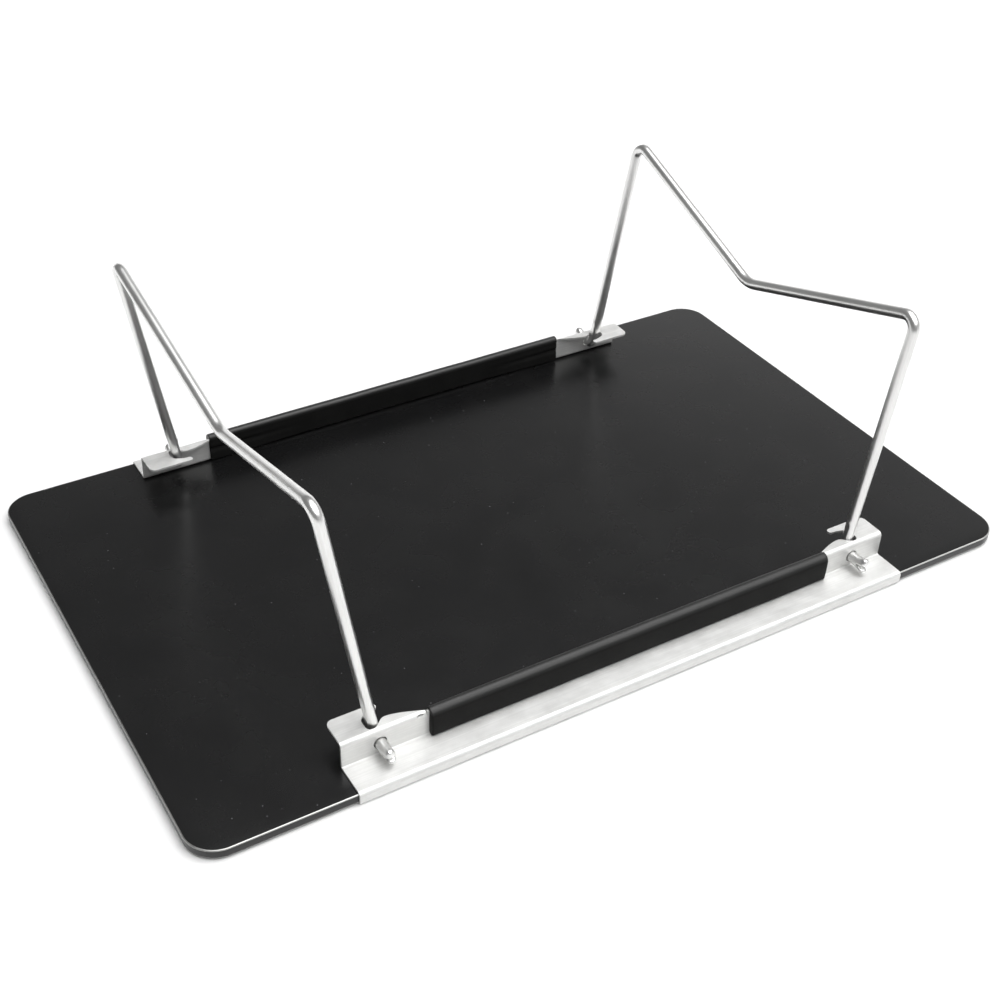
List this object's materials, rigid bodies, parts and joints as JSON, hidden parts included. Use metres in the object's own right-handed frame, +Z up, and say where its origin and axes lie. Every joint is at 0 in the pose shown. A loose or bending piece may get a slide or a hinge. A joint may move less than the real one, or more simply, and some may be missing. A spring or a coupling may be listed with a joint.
{
  "type": "folding album stand",
  "caption": "Flat plate with rounded corners, bent sheet rails with soft sleeves along its long edges, and M-shaped wire frames that fold flat on hinges in the rails.",
  "frame": {"origin": "bottom centre of the whole stand: the level of the hems under the plate, midway between the rails and midway along the plate", "axes": "+Z up from the plate towards the raised wire frames, X along the long edges of the plate, Y across it from the front rail (-Y) to the rear rail (+Y)"},
  "size_m": [0.4014, 0.248, 0.1265],
  "materials": {
    "plate": "black, satin, with a fine speckle and bright bevelled rims",
    "rail": "pale satin sheet",
    "wire": "polished drawn wire",
    "sleeve": "matte black soft rubber"
  },
  "bodies": {
    "base": {"base_plate": "plate", "rear_rail": "rail", "front_rail": "rail", "rear_sleeve": "sleeve", "front_sleeve": "sleeve"},
    "left_frame": {"left_wire_frame": "wire"},
    "right_frame": {"right_wire_frame": "wire"}
  },
  "joints": [
    {"name": "left_frame_fold", "type": "hinge", "parent": "base", "child": "left_frame", "pos_m": [-0.119, 0, 0.0115], "axis": [0, 1, 0], "range_deg": [0, 100.5]},
    {"name": "right_frame_fold", "type": "hinge", "parent": "base", "child": "right_frame", "pos_m": [0.119, 0, 0.0115], "axis": [0, -1, 0], "range_deg": [0, 100.5]}
  ]
}
